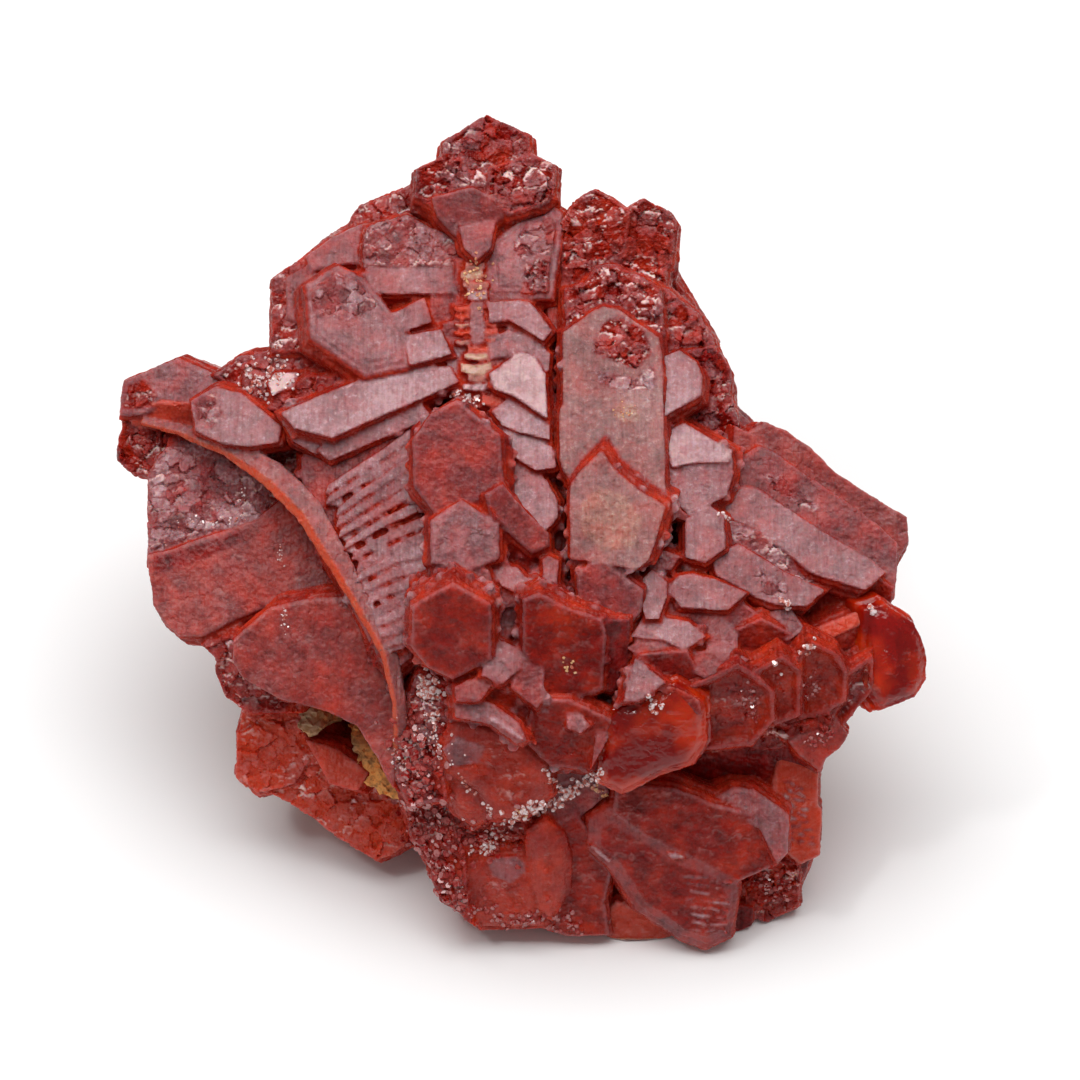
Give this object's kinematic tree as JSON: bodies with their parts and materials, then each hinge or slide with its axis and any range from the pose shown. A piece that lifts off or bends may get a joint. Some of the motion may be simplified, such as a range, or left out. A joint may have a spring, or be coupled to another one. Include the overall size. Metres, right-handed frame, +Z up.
{
  "type": "vanadinite on matrix",
  "caption": "Mineral specimen: a crust of grown-together red hexagonal crystals over a lump of ochre-stained rock with a flat underside.",
  "frame": {"origin": "middle of the specimen's box, on the floor that the rock's flat underside rests on", "axes": "+Z up; -Y towards the front, where the crust slopes down to the floor; +X to the right seen from the front"},
  "size_m": [0.0353, 0.029, 0.0247],
  "materials": {
    "rock": "rough, earthy, stained with ochre",
    "vanadinite": "resinous deep red crystal, lightly frosted",
    "frosted_vanadinite": "red crystal with a pale frosted skin",
    "clear_vanadinite": "clear orange-red crystal, high gloss"
  },
  "bodies": {
    "root": {"matrix": "rock", "crown_crystal": "vanadinite", "upper_left_fan": "frosted_vanadinite", "ribbed_face": "frosted_vanadinite", "left_wing": "vanadinite", "lower_left_plate": "vanadinite", "middle_crystals": "vanadinite", "right_column": "frosted_vanadinite", "right_shoulder": "frosted_vanadinite", "right_bundle": "frosted_vanadinite", "hanging_crystal": "clear_vanadinite", "front_row": "vanadinite", "front_tongue": "clear_vanadinite", "lower_right_prisms": "vanadinite", "front_ball": "vanadinite", "back_left_crystals": "vanadinite", "back_middle_crystals": "vanadinite", "back_right_crystals": "vanadinite"}
  },
  "joints": []
}
